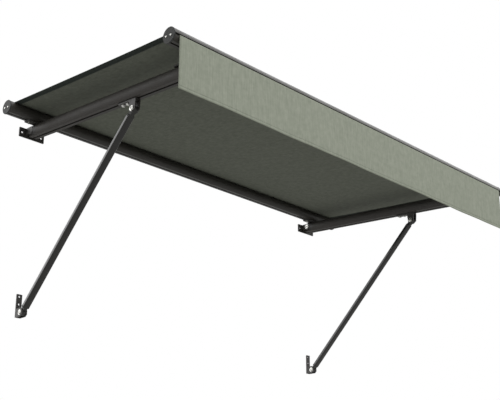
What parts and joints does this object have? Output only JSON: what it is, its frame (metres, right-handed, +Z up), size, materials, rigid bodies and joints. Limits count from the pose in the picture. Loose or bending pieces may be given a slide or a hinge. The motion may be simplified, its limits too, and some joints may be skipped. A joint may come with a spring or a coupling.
{
  "type": "fabric awning",
  "caption": "Wall-hung window awning: flat fabric stretched between round slotted bars on hinged arms, propped by struts that slide under the arms, with a hanging valance.",
  "frame": {"origin": "on the wall plane, midway between the upper brackets, at the height of the arm hinge bolts", "axes": "+X to the right along the wall seen from the front, +Y into the wall, +Z up; the front is towards -Y"},
  "size_m": [2.5066, 1.3463, 1.0649],
  "materials": {
    "profile": "dark grey powder coat, satin",
    "strut_tube": "dark grey powder coat, satin",
    "connector": "near black powder coat, satin",
    "bar_cap": "die cast, fine-textured grey powder coat",
    "bracket_steel": "near black powder coat on steel",
    "end_fitting": "moulded glass-filled nylon, matt",
    "fastener_steel": "bright stainless",
    "canopy_cloth": "woven acrylic canvas, grey green melange",
    "valance_cloth": "woven acrylic canvas, grey green melange"
  },
  "bodies": {
    "wall_brackets": {"foot_pivot_bolt_left": "fastener_steel", "foot_pivot_bolt_right": "fastener_steel", "foot_pivot_nut_left": "fastener_steel", "foot_pivot_nut_right": "fastener_steel", "hinge_bolt_left": "fastener_steel", "hinge_bolt_right": "fastener_steel", "lower_bracket_left": "bracket_steel", "lower_bracket_right": "bracket_steel", "upper_bracket_left": "bracket_steel", "upper_bracket_right": "bracket_steel"},
    "canopy": {"arm_front_cap_left": "end_fitting", "arm_front_cap_right": "end_fitting", "arm_hinge_end_left": "end_fitting", "arm_hinge_end_right": "end_fitting", "arm_left": "profile", "arm_right": "profile", "canopy_cloth": "canopy_cloth", "front_bar": "profile", "front_bar_cap_left": "bar_cap", "front_bar_cap_right": "bar_cap", "front_bar_cap_screw_left_1": "fastener_steel", "front_bar_cap_screw_left_2": "fastener_steel", "front_bar_cap_screw_right_1": "fastener_steel", "front_bar_cap_screw_right_2": "fastener_steel", "front_connector_bolt_left_1": "fastener_steel", "front_connector_bolt_left_2": "fastener_steel", "front_connector_bolt_right_1": "fastener_steel", "front_connector_bolt_right_2": "fastener_steel", "front_connector_left": "connector", "front_connector_right": "connector", "rear_bar": "profile", "rear_bar_cap_left": "bar_cap", "rear_bar_cap_right": "bar_cap", "rear_bar_cap_screw_left_1": "fastener_steel", "rear_bar_cap_screw_left_2": "fastener_steel", "rear_bar_cap_screw_right_1": "fastener_steel", "rear_bar_cap_screw_right_2": "fastener_steel", "rear_connector_bolt_left_1": "fastener_steel", "rear_connector_bolt_left_2": "fastener_steel", "rear_connector_bolt_right_1": "fastener_steel", "rear_connector_bolt_right_2": "fastener_steel", "rear_connector_left": "connector", "rear_connector_right": "connector", "valance": "valance_cloth"},
    "strut_bracket_left": {"strut_bracket_bolt_left_1": "fastener_steel", "strut_bracket_bolt_left_2": "fastener_steel", "strut_bracket_left": "bracket_steel", "strut_pivot_bolt_left": "fastener_steel", "strut_pivot_nut_left": "fastener_steel"},
    "strut_bracket_right": {"strut_bracket_bolt_right_1": "fastener_steel", "strut_bracket_bolt_right_2": "fastener_steel", "strut_bracket_right": "bracket_steel", "strut_pivot_bolt_right": "fastener_steel", "strut_pivot_nut_right": "fastener_steel"},
    "strut_left": {"strut_foot_left": "end_fitting", "strut_head_left": "end_fitting", "strut_left": "strut_tube"},
    "strut_right": {"strut_foot_right": "end_fitting", "strut_head_right": "end_fitting", "strut_right": "strut_tube"}
  },
  "joints": [
    {"name": "canopy_tilt", "type": "hinge", "parent": "wall_brackets", "child": "canopy", "pos_m": [0, -0.045, 0], "axis": [1, 0, 0], "range_deg": [-2, 10]},
    {"name": "strut_bracket_slide_left", "type": "slide", "parent": "canopy", "child": "strut_bracket_left", "axis": [0, -0.9962, -0.0872], "range_m": [-0.04, 0.196]},
    {"name": "strut_swing_left", "type": "hinge", "parent": "wall_brackets", "child": "strut_left", "pos_m": [-1.055, -0.042, -0.9442], "axis": [1, 0, 0], "range_deg": [-2.5, 12.5]},
    {"name": "strut_bracket_slide_right", "type": "slide", "parent": "canopy", "child": "strut_bracket_right", "axis": [0, -0.9962, -0.0872], "range_m": [-0.04, 0.196]},
    {"name": "strut_swing_right", "type": "hinge", "parent": "wall_brackets", "child": "strut_right", "pos_m": [1.055, -0.042, -0.9442], "axis": [1, 0, 0], "range_deg": [-2.5, 12.5]}
  ],
  "couplings": [
    {"joint": "strut_bracket_slide_left", "follows": "canopy_tilt", "m_per_rad": 1.0978},
    {"joint": "strut_swing_left", "follows": "canopy_tilt", "ratio": 1.194},
    {"joint": "strut_bracket_slide_right", "follows": "canopy_tilt", "m_per_rad": 1.0978},
    {"joint": "strut_swing_right", "follows": "canopy_tilt", "ratio": 1.194}
  ]
}
